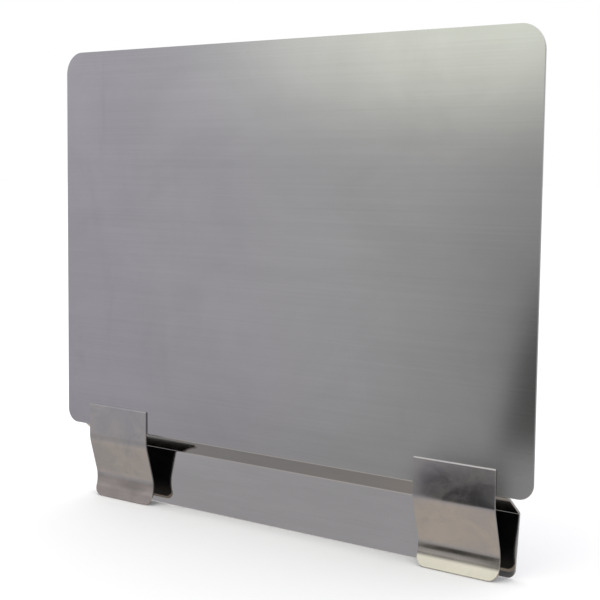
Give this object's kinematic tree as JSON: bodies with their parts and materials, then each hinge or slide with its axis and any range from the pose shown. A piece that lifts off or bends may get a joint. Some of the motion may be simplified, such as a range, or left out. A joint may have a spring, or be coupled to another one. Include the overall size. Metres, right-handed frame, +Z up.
{
  "type": "clip-on flat shield",
  "caption": "Flat brushed steel shield panel with rounded corners that hangs on a board edge between a cranked back plate and sprung front clips.",
  "frame": {"origin": "middle of the flat grip face, the front face of the back plate that lies against the held board", "axes": "+X along the panel to the right as seen from the front, +Y from the front to the back, +Z up"},
  "size_m": [0.427, 0.0207, 0.359],
  "materials": {
    "panel_steel": "stainless sheet brushed along its length",
    "rail_steel": "stainless sheet, bright polished so that it mirrors",
    "clip_steel": "satin spring stainless",
    "liner_rubber": "smooth black rubber",
    "zinc_steel": "plain turned stainless",
    "nut_steel": "polished"
  },
  "bodies": {
    "root": {"shield_panel": "panel_steel", "back_rail": "rail_steel", "left_clip_flange": "clip_steel", "right_clip_flange": "clip_steel", "left_inner_weld_stud": "zinc_steel", "left_outer_weld_stud": "zinc_steel", "right_inner_weld_stud": "zinc_steel", "right_outer_weld_stud": "zinc_steel", "left_inner_washer": "zinc_steel", "left_outer_washer": "zinc_steel", "right_inner_washer": "zinc_steel", "right_outer_washer": "zinc_steel", "left_inner_dome_nut": "nut_steel", "left_outer_dome_nut": "nut_steel", "right_inner_dome_nut": "nut_steel", "right_outer_dome_nut": "nut_steel"},
    "left_jaw": {"left_clip_jaw": "clip_steel", "left_clip_liner": "liner_rubber"},
    "right_jaw": {"right_clip_jaw": "clip_steel", "right_clip_liner": "liner_rubber"}
  },
  "joints": [
    {"name": "left_clip_flex", "type": "hinge", "parent": "root", "child": "left_jaw", "pos_m": [-0.1558, -0.01865, 0.0315], "axis": [-1, 0, 0], "range_deg": [0, 7], "stiffness_Nm_per_rad": 20},
    {"name": "right_clip_flex", "type": "hinge", "parent": "root", "child": "right_jaw", "pos_m": [0.1558, -0.01865, 0.0315], "axis": [-1, 0, 0], "range_deg": [0, 7], "stiffness_Nm_per_rad": 20}
  ]
}
